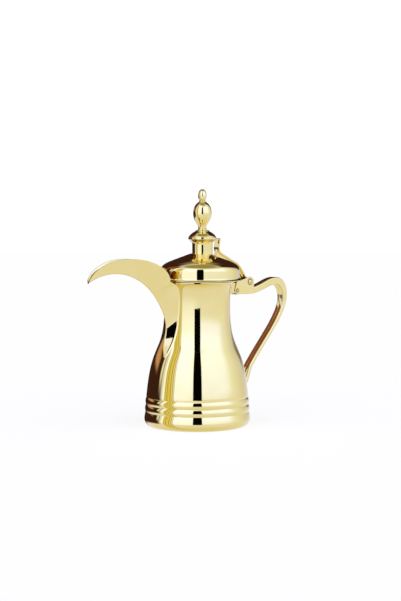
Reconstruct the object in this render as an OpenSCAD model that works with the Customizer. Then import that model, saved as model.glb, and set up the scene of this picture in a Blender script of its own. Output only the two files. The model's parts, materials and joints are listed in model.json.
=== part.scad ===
// Dallah: a spouted coffee pot with a hinged lid, built up from spun, pressed and turned metal parts.
// Frame: origin at the centre of the base on the table, +Z up, spout towards -X, handle towards +X.
// The pot is symmetric about the X-Z plane. All sizes are in millimetres.

/* [Body] */
// Radius of the foot at its widest
foot_r = 56; // [54:0.5:58]
// Rounding between the foot and the table
foot_corner_r = 8; // [5:0.5:9]
// Height of one pressed ring above the foot
ring_pitch = 7.6; // [6:0.2:8]
// How far each ring stands proud of the groove beside it
ring_proud = 0.9; // [0.4:0.1:1.2]
// How much the grooves draw in from one ring to the next one up
ring_taper = 0.5; // [0:0.1:0.8]
// Radius of the belly just above the rings
belly_r = 53.8; // [52:0.2:54]
// Radius of the waist
waist_r = 34.7; // [33.6:0.1:36]
// Height of the waist
waist_z = 128; // [124:1:130]
// Radius of the flared mouth
mouth_r = 39.4; // [38.4:0.2:39.6]
// Height of the mouth
mouth_z = 152.6; // [152:0.1:152.7]
// Thickness of the spun body sheet
wall = 1.2; // [0.8:0.1:1.5]
// Width of the turned-in rim that the base plate is welded into
foot_flange = 4; // [3:0.5:6]

/* [Spout] */
// Thickness of the pressed spout sheet
spout_t = 1.0; // [0.8:0.1:1.2]
// Half width of the spout at its tip
tip_half_w = 2; // [1.6:0.1:2.6]
// Half width of the spout's rim beside the lid
rim_half_w = 8.5; // [8:0.1:9]
// Radius of the folded keel
keel_r = 1.0; // [0.6:0.1:1.2]
// Depth of the soldered seam inside the keel
keel_seam = 2.2; // [1.6:0.1:2.6]
// Diameter of each strainer hole behind the spout
strainer_d = 4.5; // [3:0.5:5]
// Number of rows of strainer holes
strainer_rows = 7; // [3:1:7]
// Distance between rows of strainer holes
strainer_pitch = 8; // [6:0.5:8]

/* [Lid] */
// Radius of the lid's upright band
lid_r = 42; // [41.6:0.1:42.4]
// Radius of the lid's thickened lower edge
lid_edge_r = 43.7; // [43.2:0.1:44]
// Height over which that edge draws in to the band
lid_edge_h = 4; // [3:0.5:5]
// How far the lid's axis sits from the pot's axis, towards the hinge
lid_offset = 4; // [3:0.5:4]
// Height of the upright band below the shoulder
lid_band_h = 10.6; // [10:0.1:11]
// Width of the round shoulder between band and cone
lid_shoulder_w = 13; // [11:0.5:14]
// Height of that shoulder
lid_shoulder_h = 10.9; // [10:0.1:11.5]
// Slope of the lid's cone in degrees
lid_slope = 20.5; // [19:0.5:22]
// Thickness of the lid sheet
lid_t = 1.0; // [0.8:0.1:1.2]
// Gap between the mouth and the closed lid
lid_gap = 0.3; // [0.2:0.1:0.5]
// Outer radius of the ring that drops into the mouth
inner_ring_r = 29; // [27:0.1:29.2]
// How far that ring reaches below the lid's edge
inner_ring_h = 10; // [6:0.5:11]

/* [Finial] */
// How far the finial's axis sits from the lid's axis, towards the hinge
finial_offset = 3.2; // [0:0.1:3.4]
// Radius of the straight drum at the foot of the finial
drum_r = 10.7; // [9:0.1:12]
// Radius of the flared collar rim
collar_r = 14.6; // [13:0.1:16]
// Radius of the finial's lower neck
finial_neck_r = 4.8; // [4:0.1:5.4]
// Largest radius of the knob
knob_r = 9.7; // [8:0.1:11]
// Largest radius of the tip
tip_r = 4.5; // [4:0.1:5]
// Radius of the stud that holds the finial to the lid
stud_r = 2; // [1.5:0.1:2.5]

/* [Hinge] */
// Distance of the hinge pin from the pot's axis
pin_x = 71.3; // [70:0.1:73]
// Height of the hinge pin
pin_z = 149.6; // [149:0.1:151]
// Radius of the hinge pin
pin_r = 1.75; // [1.5:0.05:2]
// Radial clearance between the pin and the lid's knuckle
pin_clearance = 0.05; // [0.02:0.01:0.1]
// Clear width between the two ears
ear_gap = 10.2; // [9.8:0.1:10.6]
// Thickness of each ear
ear_t = 1.0; // [0.8:0.1:1.4]
// Radius of the lid's knuckle
knuckle_r = 3.6; // [3:0.1:4]
// Width of the lid's strap
strap_w = 8; // [6:0.5:9]
// Thickness of the strap's bent strip
strap_t = 1.6; // [1.4:0.1:2]

/* [Handle] */
// Width of the handle
handle_w = 10; // [9.4:0.1:10]
// Thickness of the handle's pressed sheet
handle_t = 1.0; // [0.8:0.1:1.2]
// Thickness of the pad that joins the handle to the belly
foot_pad_t = 1.2; // [0.8:0.1:1.6]

/* [Hidden] */
$fn = 96;
gold = [0.86, 0.76, 0.42];
deep_gold = [0.74, 0.6, 0.24];
steel = [0.72, 0.73, 0.74];
big = 400;                       // larger than any part of the pot
lid_z = mouth_z + lid_gap;       // underside of the closed lid

// ---- curves ----

// Point at t on a cubic Bezier curve with four control points of any dimension
function bezier(p, t) =
    pow(1 - t, 3) * p[0] + 3 * t * pow(1 - t, 2) * p[1] + 3 * t * t * (1 - t) * p[2] + pow(t, 3) * p[3];

// Unit direction of that curve at t
function heading(p, t) =
    let (d = pow(1 - t, 2) * (p[1] - p[0]) + 2 * t * (1 - t) * (p[2] - p[1]) + t * t * (p[3] - p[2]))
    [d[0], d[1]] / norm([d[0], d[1]]);

// The curve moved sideways by d, to the left of its direction
function bezier_beside(p, t, d) =
    let (h = heading(p, t), c = bezier(p, t))
    [c[0] - d * h[1], c[1] + d * h[0]];

// Arc about c from angle a0 to a1, in n steps
function arc(c, r, a0, a1, n) =
    [for (i = [0:n]) let (a = a0 + (a1 - a0) * i / n) c + r * [cos(a), sin(a)]];

function flip(list) = [for (i = [len(list) - 1:-1:0]) list[i]];
function mix(a, b, t) = a + (b - a) * t;

// ---- body of revolution, as [radius, height] ----

ring_count = 3;
foot_flat_r = foot_r - foot_corner_r;
edge_r = foot_flat_r - foot_flange;   // where the foot's flange meets the base plate
rings_top = foot_corner_r + ring_count * ring_pitch;
belly_z = rings_top + 1.2;
flare_end_z = mouth_z - wall;
belly_curve = [[belly_r, belly_z], [belly_r - 5.8, 94], [waist_r, 73.5], [waist_r, waist_z]];
flare_curve = [[waist_r, waist_z], [waist_r, waist_z + 15], [waist_r + 1.3, flare_end_z - 1.8],
               [mouth_r, flare_end_z]];

// Radius of groove k, counted up from the foot, whose own crest counts as k = 0
function groove_r(k) = foot_r - ring_proud - k * ring_taper;

// Ring i bulges between groove i and groove i + 1; the lowest one rises straight from the foot
function ring(i, n) = [
    for (j = [1:n])
        let (u = j / n, s = i == 0 ? u : 2 * u - 1, z = foot_corner_r + (i + u) * ring_pitch)
        [mix(groove_r(i), groove_r(i + 1), u) + ring_proud * (1 - s * s), z]
];

// Outline of the foot from its underside to the groove above the top ring, d inside the outer skin
function foot_outline(d, corner_steps = 6, ring_steps = 6) = concat(
    arc([foot_flat_r, foot_corner_r], foot_corner_r - d, -90, 0, corner_steps),
    [for (i = [0:ring_count - 1]) for (p = ring(i, ring_steps)) [p[0] - d, p[1]]]
);

// Outline of the body from that groove to the mouth, d inside the outer skin
function body_outline(d, belly_steps = 18, flare_steps = 12) = concat(
    [[groove_r(ring_count) - d, rings_top]],
    [for (i = [0:belly_steps]) bezier_beside(belly_curve, i / belly_steps, d)],
    [for (i = [1:flare_steps]) bezier_beside(flare_curve, i / flare_steps, d)]
);

// Outer radius of the body at height z
skin_points = concat(foot_outline(0), body_outline(0));
skin_table = [for (p = skin_points) if (p[1] > foot_corner_r) [p[1], p[0]]];
function skin_r(z) = lookup(z, skin_table);

// Solid filled to the outer skin grown by d, used to trim parts that sit on the body
module body_solid(d = 0) {
    outline = concat(foot_outline(-d), body_outline(-d));
    last = outline[len(outline) - 1];
    rotate_extrude() polygon(concat([[0, -d]], outline, [[0, last[1]]]));
}

// Hole along X through the wall on the spout's side
module strainer_hole(y, z) {
    translate([-belly_r, y, z])
    rotate([0, 90, 0]) cylinder(d = strainer_d, h = belly_r);
}

strainer_low_z = 90;
strainer_side_y = 3.2;

module body_shell() {
    color(gold)
    difference() {
        rotate_extrude() polygon(concat(body_outline(0), flip(body_outline(wall))));
        for (row = [0:strainer_rows - 1]) {
            z = strainer_low_z + row * strainer_pitch;
            if (row % 2 == 0) {
                strainer_hole(0, z);
            } else {
                strainer_hole(-strainer_side_y, z);
                strainer_hole(strainer_side_y, z);
            }
        }
    }
}

// Ringed foot, soldered to the body in the groove above the top ring
module foot_shell() {
    color(gold)
    rotate_extrude()
    polygon(concat([[edge_r, 0]], foot_outline(0), flip(foot_outline(wall)), [[edge_r, wall]]));
}

// Flat disc welded flush into the foot, stiffened by one raised ring
module base_plate() {
    ring_in = 27;
    ring_out = 33;
    ring_up = 1.4;
    color(deep_gold)
    rotate_extrude()
    polygon([[0, 0], [ring_in, 0], [ring_in + 1.5, ring_up], [ring_out - 1.5, ring_up], [ring_out, 0],
             [edge_r, 0], [edge_r, wall], [ring_out + 0.6, wall], [ring_out - 0.9, ring_up + wall],
             [ring_in + 0.9, ring_up + wall], [ring_in - 0.6, wall], [0, wall]]);
}

// ---- spout: two pressed halves meeting along the keel ----

// Keel and rim run from the tip to the pot, as [x, z]
keel_upper = [[-144.7, 154.5], [-114.5, 171], [-79.7, 162.5], [-60.3, 140.1]];
keel_lower = [[-60.3, 140.1], [-28, 101], [-55, 96.6], [-45.2, 74]];
rim_curve = [[-143.8, 158.5], [-125, 190], [-43, 179.3], [-44.7, 153.5]];
// Half width of the rim from the tip to the pot
rim_w = [tip_half_w, 6, 8, rim_half_w];
// Seam of the spout on the body, as [half width, height]
seam_curve = [[rim_half_w, 153.5], [11.8, 127], [7.5, 88], [1.2, 73]];
spout_bite = 1.5;                // how far the sheet is run into the body before it is trimmed
rim_steps = 26;
seam_steps = 22;

// Section of the left half between keel point k and edge point e, both [x, z], at half width w
function spout_section(k, e, w) =
    let (reach = norm(e - k), u = (e - k) / reach,
         round_r = min(keel_r, 0.3 * reach), seam = min(keel_seam, 0.45 * reach))
    [
        for (p = [[k, 0], [k + 0.3 * round_r * u, 0.7 * keel_r], [k + round_r * u, keel_r],
                  [e, w], [e, w - spout_t], [k + seam * u, 0]])
            [p[0][0], -p[1], p[0][1]]
    ];

function rim_section(t) =
    spout_section(bezier(keel_upper, t), bezier(rim_curve, t), bezier(rim_w, t));

function seam_section(t) =
    let (s = bezier(seam_curve, t), depth = skin_r(s[1]) - spout_bite)
    spout_section(bezier(keel_lower, t), [-sqrt(depth * depth - s[0] * s[0]), s[1]], s[0]);

spout_sections = concat(
    [for (i = [0:rim_steps]) rim_section(i / rim_steps)],
    [for (i = [1:seam_steps]) seam_section(i / seam_steps)]
);

// Closed skin over a list of sections that each have n points
module loft(sections, n) {
    count = len(sections);
    sides = [
        for (i = [0:count - 2]) for (j = [0:n - 1])
            let (a = i * n + j, b = i * n + (j + 1) % n, c = a + n, d = b + n)
            for (face = [[a, b, d], [a, d, c]]) face
    ];
    end = (count - 1) * n;
    first_cap = [for (j = [1:n - 2]) [0, j + 1, j]];
    last_cap = [for (j = [1:n - 2]) [end, end + j, end + j + 1]];
    polyhedron(
        points = [for (s = sections) for (p = s) p],
        faces = concat(first_cap, sides, last_cap),
        convexity = 8
    );
}

// Room that the closed lid and its swing need above the mouth
module lid_room() {
    translate([lid_offset, 0, mouth_z]) cylinder(r = lid_edge_r + 0.7, h = 30);
}

module spout_half() {
    difference() {
        loft(spout_sections, 6);
        body_solid();
        lid_room();
    }
}

module spout_left_half() {
    color(gold) spout_half();
}

module spout_right_half() {
    color(gold) mirror([0, 1, 0]) spout_half();
}

// ---- handle: two pressed halves, swept in the X-Z plane ----

// Middle line of the handle from the hinge to the belly, as [x, z, thickness]
handle_curves = [
    [[66.4, 139.8, 7], [88, 138.5, 7], [98, 148.6, 7.6], [112, 149.2, 8]],
    [[112, 149.2, 8], [119.5, 149.5, 8.4], [126.6, 143.5, 8.4], [126.8, 132, 6.2]],
    [[126.8, 132, 6.2], [127, 112, 4.2], [98, 88, 4.2], [76, 59.6, 4.6]],
    [[76, 59.6, 4.6], [68.7, 50.1, 4.8], [72, 35, 5], [53, 36.5, 6]]
];
handle_steps = 12;

// One long edge of the handle, side is 1 for the outer edge and -1 for the inner one
function handle_edge(side, inset) = [
    for (c = handle_curves) for (i = [c == handle_curves[0] ? 0 : 1:handle_steps])
        let (t = i / handle_steps, half = bezier(c, t)[2] / 2 - inset)
        bezier_beside(c, t, side * half)
];

// Side view of the handle, pulled in by inset on both edges
module handle_outline(inset) {
    polygon(concat(handle_edge(1, inset), flip(handle_edge(-1, inset))));
}

// Extrudes an X-Z outline towards -Y, from y = 0 to y = -h
module towards_left(h) {
    rotate([90, 0, 0]) linear_extrude(height = h) children();
}

module handle_half() {
    difference() {
        towards_left(handle_w / 2) handle_outline(0);
        translate([0, 1, 0]) towards_left(handle_w / 2 - handle_t + 1) handle_outline(handle_t);
        body_solid(foot_pad_t);
    }
}

module handle_left_half() {
    color(gold) handle_half();
}

module handle_right_half() {
    color(gold) mirror([0, 1, 0]) handle_half();
}

// Oval pad shaped to the belly
module handle_foot() {
    pad_z = 37.6;
    pad_half_w = 9;
    pad_half_h = 5.4;
    color(gold)
    intersection() {
        difference() {
            body_solid(foot_pad_t);
            body_solid();
        }
        translate([foot_flat_r / 2, 0, pad_z])
        rotate([0, 90, 0])
        linear_extrude(height = foot_r)
        union() {
            translate([0, pad_half_w - pad_half_h]) circle(r = pad_half_h);
            translate([0, pad_half_h - pad_half_w]) circle(r = pad_half_h);
            square([2 * pad_half_h, 2 * (pad_half_w - pad_half_h)], center = true);
        }
    }
}

// ---- hinge ----

ear_half = ear_gap / 2;
rivet_at = [52.6, 140.8];        // small rivet that joins clevis and neck bracket, as [x, z]
rivet_r = 1.1;
clevis_floor_end = 65.8;

// Side view of an ear: a plate with rounded corners around the pin and the rivet
module ear_outline() {
    polygon(concat(
        arc([53, 148.4], 1.8, 180, 106, 4),
        arc([pin_x + 0.4, pin_z - 0.2], 5.6, 106, 0, 10),
        arc([pin_x + 5.2, 137.2], 0.8, 0, -90, 4),
        arc([rivet_at[0], rivet_at[1]], 3.4, -94, -180, 6)
    ));
}

// Two ears joined by a short floor under the neck bracket
module hinge_clevis() {
    color(gold)
    difference() {
        union() {
            for (side = [0, 1]) {
                mirror([0, side, 0])
                translate([0, -ear_half, 0]) towards_left(ear_t) ear_outline();
            }
            translate([rivet_at[0] - 0.4, -ear_half - 0.01, 136.5])
            cube([clevis_floor_end - rivet_at[0] + 0.4, ear_gap + 0.02, ear_t]);
        }
        cross_hole(pin_x, pin_z, pin_r);
        cross_hole(rivet_at[0], rivet_at[1], rivet_r);
    }
}

// Round hole along Y through the whole hinge
module cross_hole(x, z, r) {
    translate([x, big / 2, z]) rotate([90, 0, 0]) cylinder(r = r, h = big);
}

// Saddle on the neck that flows into a hollow tongue between the ears
module neck_bracket() {
    tongue_half = handle_w / 2;
    tongue_end = 58;
    tongue_low = 137.7;
    tongue_high = 147.2;
    sheet = 1;
    fillet_r = 6;
    fillet_x = 44;
    plan = concat(
        [[0, -tongue_half - fillet_r]],
        arc([fillet_x, -tongue_half - fillet_r], fillet_r, 180, 90, 8),
        [[tongue_end, -tongue_half], [tongue_end, tongue_half]],
        arc([fillet_x, tongue_half + fillet_r], fillet_r, 270, 180, 8),
        [[0, tongue_half + fillet_r]]
    );
    color(gold)
    difference() {
        intersection() {
            linear_extrude(height = big) polygon(plan);
            translate([0, big / 2, 0]) towards_left(big) polygon([
                [20, 133.5], [39, 133.5], [46, tongue_low - 0.4], [48, tongue_low],
                [tongue_end, tongue_low], [tongue_end, tongue_high], [50, 149.2], [20, 149.2]
            ]);
        }
        body_solid();
        translate([fillet_x, -tongue_half + sheet, tongue_low + sheet])
        cube([tongue_end, 2 * (tongue_half - sheet), tongue_high - tongue_low - 2 * sheet]);
        cross_hole(rivet_at[0], rivet_at[1], rivet_r);
    }
}

// Round rivet along Y: a shank with a domed head outside each ear
module cross_rivet(x, z, r, head_r, head_h) {
    half = ear_half + ear_t;
    dome_r = (head_r * head_r + head_h * head_h) / (2 * head_h);
    dome = arc([0, half + head_h - dome_r], dome_r, 90, 90 - asin(head_r / dome_r), 6);
    translate([x, 0, z])
    rotate([90, 0, 0])
    rotate_extrude()
    polygon(concat(dome, [[r, half], [r, -half]], flip([for (p = dome) [p[0], -p[1]]])));
}

module bracket_rivet() {
    color(deep_gold) cross_rivet(rivet_at[0], rivet_at[1], rivet_r, 1.9, 0.8);
}

module hinge_pin() {
    color(deep_gold) cross_rivet(pin_x, pin_z, pin_r, 3.2, 1.5);
}

// ---- lid, as [radius, height] about its own axis ----

module on_lid_axis() {
    translate([lid_offset, 0, 0]) children();
}

module on_finial_axis() {
    translate([lid_offset + finial_offset, 0, 0]) children();
}

shoulder_z = lid_z + lid_band_h;
cone_foot = [lid_r - lid_shoulder_w, shoulder_z + lid_shoulder_h];
lid_top_z = cone_foot[1] + (cone_foot[0] - drum_r) * tan(lid_slope);
shoulder_curve = [[lid_r, shoulder_z], [lid_r, shoulder_z + 4.7],
                  cone_foot + 9.6 * [cos(lid_slope), -sin(lid_slope)], cone_foot];

// Skin of the lid from the band to the flat under the finial, d inside the outer skin
function lid_outline(d) = concat(
    [for (i = [0:12]) bezier_beside(shoulder_curve, i / 12, d)],
    [[drum_r, lid_top_z - d / cos(lid_slope)]]
);

// Heights of the lid's outer and inner skins above the point x on the pot's X axis
lid_skin_table = flip(lid_outline(0));
lid_inner_table = flip(lid_outline(lid_t));
function lid_skin(x) = lookup(x - lid_offset, lid_skin_table);
function lid_inner(x) = lookup(x - lid_offset, lid_inner_table);

// Thickened lower edge, which draws in to the band in a hollow curve
lid_edge_curve = [[lid_edge_r, lid_z + 0.8], [lid_edge_r - 0.9, lid_z + 1.4],
                  [lid_r, lid_z + 2.2], [lid_r, lid_z + lid_edge_h]];

module stud_hole() {
    cylinder(r = stud_r + 0.05, h = big);
}

module lid_shell() {
    top_in = lid_top_z - lid_t / cos(lid_slope);
    color(gold)
    difference() {
        on_lid_axis()
        rotate_extrude()
        polygon(concat(
            [[lid_edge_r, lid_z]], [for (i = [0:6]) bezier(lid_edge_curve, i / 6)],
            lid_outline(0), [[0, lid_top_z], [0, top_in]], flip(lid_outline(lid_t)),
            [[lid_r - lid_t, lid_z]]
        ));
        on_finial_axis() stud_hole();
        strap_rivet_holes();
    }
}

// Flanged ring inside the lid; its sleeve drops into the mouth
module lid_inner_ring() {
    color(deep_gold)
    on_lid_axis()
    rotate_extrude()
    polygon([[inner_ring_r - lid_t, lid_z - inner_ring_h], [inner_ring_r, lid_z - inner_ring_h],
             [inner_ring_r, lid_z], [lid_r - lid_t, lid_z], [lid_r - lid_t, lid_z + lid_t],
             [inner_ring_r - lid_t, lid_z + lid_t]]);
}

strap_rise = 6.2;                // strap's top above the lid, measured upright
strap_web_w = 3.6;               // width of the web between the strap and the lid
strap_rivet_x = [33.5, 39.5];    // the two rivets' distances from the pot's axis
strap_rivet_shank = 1.1;
strap_rivet_depth = 4;           // how far they reach into the strap's web
tab_out_x = 28.7;                // outer face of the thumb tab at its foot
tab_lean = 1.5;                  // how far the tab leans out at its top
tab_top_z = 197;
web_in_x = 25;

// Upper line of the arm from the knuckle to the shoulder, as [x, z]
arm_curve = [[pin_x - 0.3, pin_z + knuckle_r], [63.5, 157], [62, 168.8], [50, 172.4]];
// Bend from the run above the cone into the thumb tab
tab_curve = [[35.5, lid_skin(35.5) + strap_rise], [31, lid_skin(31) + strap_rise + 0.3],
             [tab_out_x - 0.5, 183.5], [tab_out_x, 188]];
arm_steps = 10;
tab_steps = 8;

// Top line of the strip from the knuckle to the thumb tab, d inside it
function strip_line(d) = concat(
    [for (i = [0:arm_steps]) bezier_beside(arm_curve, i / arm_steps, d)],
    [for (i = [0:tab_steps]) bezier_beside(tab_curve, i / tab_steps, d)]
);

// Side view of the bent strip and of the knuckle at its lower end
module strip_outline() {
    tab_mid = [tab_out_x + tab_lean - strap_t / 2, tab_top_z - strap_t / 2];
    polygon(concat(
        strip_line(0), arc(tab_mid, strap_t / 2, 0, 180, 6), flip(strip_line(strap_t))
    ));
    translate([pin_x, pin_z]) circle(r = knuckle_r);
}

// Side view of the web that fills the space under the strip and stands on the lid
module web_outline() {
    polygon(concat(
        strip_line(strap_t / 2),
        [for (x = [web_in_x:3:43]) [x, lid_skin(x) + 0.1]],
        [[52, 166.8], [57.6, 162.6], [63, 155.5], [pin_x, pin_z]]
    ));
}

module lid_strap() {
    color(gold)
    difference() {
        union() {
            translate([0, strap_w / 2, 0]) towards_left(strap_w) strip_outline();
            translate([0, strap_web_w / 2, 0]) towards_left(strap_web_w) web_outline();
        }
        cross_hole(pin_x, pin_z, pin_r + pin_clearance);
        strap_rivet_holes();
    }
}

// Blind holes that reach from inside the lid into the strap
module strap_rivet_holes() {
    for (x = strap_rivet_x) {
        translate([x, 0, lid_z])
        cylinder(r = strap_rivet_shank + 0.02, h = lid_skin(x) + strap_rivet_depth + 0.05 - lid_z);
    }
}

// Two rivets with domed heads inside the lid, driven up into the strap
module lid_strap_rivets() {
    head_r = 2;
    head_h = 0.9;
    dome_r = (head_r * head_r + head_h * head_h) / (2 * head_h);
    for (x = strap_rivet_x) {
        low = lid_inner(x + head_r) - 0.05;
        high = lid_skin(x) + strap_rivet_depth;
        color(deep_gold)
        translate([x, 0, 0])
        rotate_extrude()
        polygon(concat(
            [[0, high], [strap_rivet_shank, high], [strap_rivet_shank, low], [head_r, low]],
            arc([0, low - head_h + dome_r], dome_r, asin(head_r / dome_r) - 90, -90, 6)
        ));
    }
}

// ---- finial, as [radius, height] about its own axis ----

drum_h = 9.4;
flare_h = 5.6;
collar_edge = 2.1;
rim_z = lid_top_z + drum_h + flare_h;
dome_z = rim_z + collar_edge;
dome_step_r = 7.4;
dome_step_h = 6.4;
neck_z = dome_z + dome_step_h + 1.2;
knob_z = neck_z + 3.6;
knob_h = 26;
knob_top_r = 3.5;
tip_z = knob_z + knob_h;
tip_h = 13.4;
finial_t = 1.0;

// Spun drum that flares out to the collar
drum_flare = [[drum_r, rim_z - flare_h], [drum_r, rim_z - 2.4],
              [collar_r - 2.6, rim_z - 2.2], [collar_r, rim_z]];
function drum_outline(d) = concat(
    [[drum_r - d, lid_top_z - lid_t - finial_offset]],
    [for (i = [0:8]) bezier_beside(drum_flare, i / 8, d)]
);

// Solid filled to the lid's outer skin, used to trim the drum's foot
module lid_solid() {
    on_lid_axis()
    rotate_extrude()
    polygon(concat([[0, lid_z], [lid_r, lid_z]], lid_outline(0), [[0, lid_top_z]]));
}

module finial_drum() {
    color(gold)
    difference() {
        on_finial_axis()
        difference() {
            rotate_extrude() polygon(concat(drum_outline(0), flip(drum_outline(finial_t))));
            translate([0, 0, rim_z]) cylinder(r = collar_r, h = collar_edge);
        }
        lid_solid();
    }
}

// Outer line of the domed cap, d inside the skin
dome_curve = [[collar_r, dome_z], [collar_r - 0.8, dome_z + 2.4],
              [dome_step_r + 2.8, dome_z + 5.2], [dome_step_r, dome_z + dome_step_h]];
function dome_outline(d) = [for (i = [0:10]) bezier_beside(dome_curve, i / 10, d)];

module finial_dome() {
    top_z = dome_z + dome_step_h + 1.2;
    color(gold)
    on_finial_axis()
    difference() {
        rotate_extrude()
        polygon(concat(
            [[collar_r - 2.2, rim_z], [collar_r + 0.2, rim_z], [collar_r + 0.2, dome_z - 0.4]],
            dome_outline(0),
            [[dome_step_r - 0.6, top_z - 0.4], [finial_neck_r + 0.6, top_z], [0, top_z], [0, top_z - 1.6]],
            [[dome_step_r - 1.4, dome_z + dome_step_h - 0.6]],
            flip([for (p = dome_outline(finial_t)) if (p[1] < dome_z + dome_step_h - 1) p])
        ));
        stud_hole();
    }
}

// Turned neck and egg-shaped knob, bored for the stud below and the tip's spigot above
spigot_r = 1.6;
spigot_h = 6;

module finial_knob() {
    waist = [finial_neck_r - 0.6, knob_z - 0.6];
    low = [waist, [finial_neck_r + 0.3, knob_z + 4], [knob_r, knob_z + 6.5], [knob_r, knob_z + 13.5]];
    high = [[knob_r, knob_z + 13.5], [knob_r, knob_z + 20.5], [knob_top_r + 3.4, tip_z - 1.6],
            [knob_top_r, tip_z]];
    color(gold)
    on_finial_axis()
    difference() {
        rotate_extrude()
        polygon(concat(
            [[0, neck_z], [finial_neck_r, neck_z], [finial_neck_r, neck_z + 1],
             [finial_neck_r - 0.6, neck_z + 1.6]],
            [for (i = [0:12]) bezier(low, i / 12)],
            [for (i = [1:12]) bezier(high, i / 12)],
            [[0, tip_z]]
        ));
        translate([0, 0, neck_z - 1]) cylinder(r = stud_r + 0.05, h = stud_top_z + 0.5 - neck_z + 1);
        translate([0, 0, tip_z - spigot_h - 0.3]) cylinder(r = spigot_r + 0.05, h = big);
    }
}

module finial_tip() {
    bead = [[tip_r - 0.8, tip_z + 2.4], [tip_r + 0.3, tip_z + 4.4], [tip_r + 0.7, tip_z + tip_h - 0.6],
            [0, tip_z + tip_h]];
    color(gold)
    on_finial_axis()
    rotate_extrude()
    polygon(concat(
        [[0, tip_z - spigot_h], [spigot_r, tip_z - spigot_h], [spigot_r, tip_z]],
        [for (a = [-90:30:90]) [knob_top_r - 0.7 + 0.8 * cos(a), tip_z + 0.8 + 0.8 * sin(a)]],
        [for (i = [0:14]) bezier(bead, i / 14)]
    ));
}

// Long stud from the nut inside the lid up into the knob
nut_h = 3.2;
washer_t = 1;
washer_top_z = lid_top_z - lid_t / cos(lid_slope);
nut_top_z = washer_top_z - washer_t;
stud_low_z = nut_top_z - nut_h - 1.5;
stud_top_z = knob_z + 15;

module finial_stud() {
    color(steel)
    on_finial_axis()
    translate([0, 0, stud_low_z]) cylinder(r = stud_r, h = stud_top_z - stud_low_z);
}

module finial_washer() {
    color(steel)
    on_finial_axis()
    translate([0, 0, nut_top_z])
    difference() {
        cylinder(r = 5, h = washer_t);
        translate([0, 0, -1]) cylinder(r = stud_r + 0.05, h = washer_t + 2);
    }
}

module finial_nut() {
    nut_across_corners = 8.1;
    color(steel)
    on_finial_axis()
    translate([0, 0, nut_top_z - nut_h])
    difference() {
        cylinder(d = nut_across_corners, h = nut_h, $fn = 6);
        translate([0, 0, -1]) cylinder(r = stud_r + 0.02, h = nut_h + 2);
    }
}

body_shell();
foot_shell();
base_plate();
spout_left_half();
spout_right_half();
handle_left_half();
handle_right_half();
handle_foot();
neck_bracket();
hinge_clevis();
bracket_rivet();
hinge_pin();
lid_shell();
lid_inner_ring();
lid_strap();
lid_strap_rivets();
finial_drum();
finial_dome();
finial_knob();
finial_tip();
finial_stud();
finial_washer();
finial_nut();
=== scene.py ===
import json
import math

import bmesh
import bpy
from mathutils import Matrix, Vector


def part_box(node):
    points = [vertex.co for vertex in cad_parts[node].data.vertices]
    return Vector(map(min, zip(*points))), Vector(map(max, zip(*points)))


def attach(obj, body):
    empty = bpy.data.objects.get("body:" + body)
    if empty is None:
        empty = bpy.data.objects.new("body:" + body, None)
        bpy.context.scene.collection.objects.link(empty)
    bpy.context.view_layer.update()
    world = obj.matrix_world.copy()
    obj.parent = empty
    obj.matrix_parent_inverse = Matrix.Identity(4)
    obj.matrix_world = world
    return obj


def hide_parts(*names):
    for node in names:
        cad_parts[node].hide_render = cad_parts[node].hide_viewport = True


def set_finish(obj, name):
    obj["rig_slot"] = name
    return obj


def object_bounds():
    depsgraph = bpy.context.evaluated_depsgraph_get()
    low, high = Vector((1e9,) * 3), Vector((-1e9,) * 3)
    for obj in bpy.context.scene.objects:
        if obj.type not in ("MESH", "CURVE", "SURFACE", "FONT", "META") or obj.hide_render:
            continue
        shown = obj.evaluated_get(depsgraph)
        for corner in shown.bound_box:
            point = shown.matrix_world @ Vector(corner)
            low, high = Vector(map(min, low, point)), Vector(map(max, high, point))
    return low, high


# Dallah coffee pot in polished gold. Lengths are millimetres until a mesh is made or MM is used.
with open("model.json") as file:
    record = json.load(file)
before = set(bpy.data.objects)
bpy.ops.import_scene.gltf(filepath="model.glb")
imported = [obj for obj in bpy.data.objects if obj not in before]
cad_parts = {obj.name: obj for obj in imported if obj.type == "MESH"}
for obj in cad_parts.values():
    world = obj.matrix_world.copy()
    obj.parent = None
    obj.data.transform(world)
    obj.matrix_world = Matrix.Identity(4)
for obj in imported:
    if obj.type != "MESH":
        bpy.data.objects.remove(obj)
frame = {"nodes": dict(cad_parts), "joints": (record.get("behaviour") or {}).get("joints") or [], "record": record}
cad_low, cad_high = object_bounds()
MM = 0.001
TURN = 2 * math.pi
FINE_STEPS = 256                 # steps round the largest turned parts


def node_box(name):
    """Lowest and highest corner of a CAD node in millimetres."""
    low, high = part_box(name)
    return [v / MM for v in low], [v / MM for v in high]


# ---- driving sizes, anchored on the CAD boxes ----

FOOT_R = node_box("foot_shell")[1][0]
FOOT_CORNER_R = 8
RING_COUNT = 3
RING_PITCH = 7.6
RING_PROUD = 0.9
RING_TAPER = 0.5
BELLY_R = 53.8
WAIST_R = 34.7
WAIST_Z = 128
MOUTH_R = 39.4
MOUTH_Z = 152.6
WALL = 1.2
FOOT_FLANGE = 4
STRAINER_R = 2.25
STRAINER_ROWS = 7
STRAINER_LOW_Z = 90
STRAINER_PITCH = 8
STRAINER_SIDE_Y = 3.2

lid_low, lid_high = node_box("lid_shell")
LID_X = (lid_low[0] + lid_high[0]) / 2
LID_Z = lid_low[2]
LID_R = 42
LID_EDGE_R = (lid_high[0] - lid_low[0]) / 2
LID_EDGE_H = 4
LID_BAND_H = 10.6
LID_SHOULDER_W = 13
LID_SHOULDER_H = 10.9
LID_SLOPE = math.radians(20.5)
LID_T = 1
INNER_RING_R = 29
INNER_RING_H = 10

tip_low, tip_high = node_box("finial_tip")
FINIAL_X = (tip_low[0] + tip_high[0]) / 2
DRUM_R = 10.7
COLLAR_R = 14.6
FINIAL_NECK_R = 4.8
KNOB_R = 9.7
TIP_R = 4.5

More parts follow.
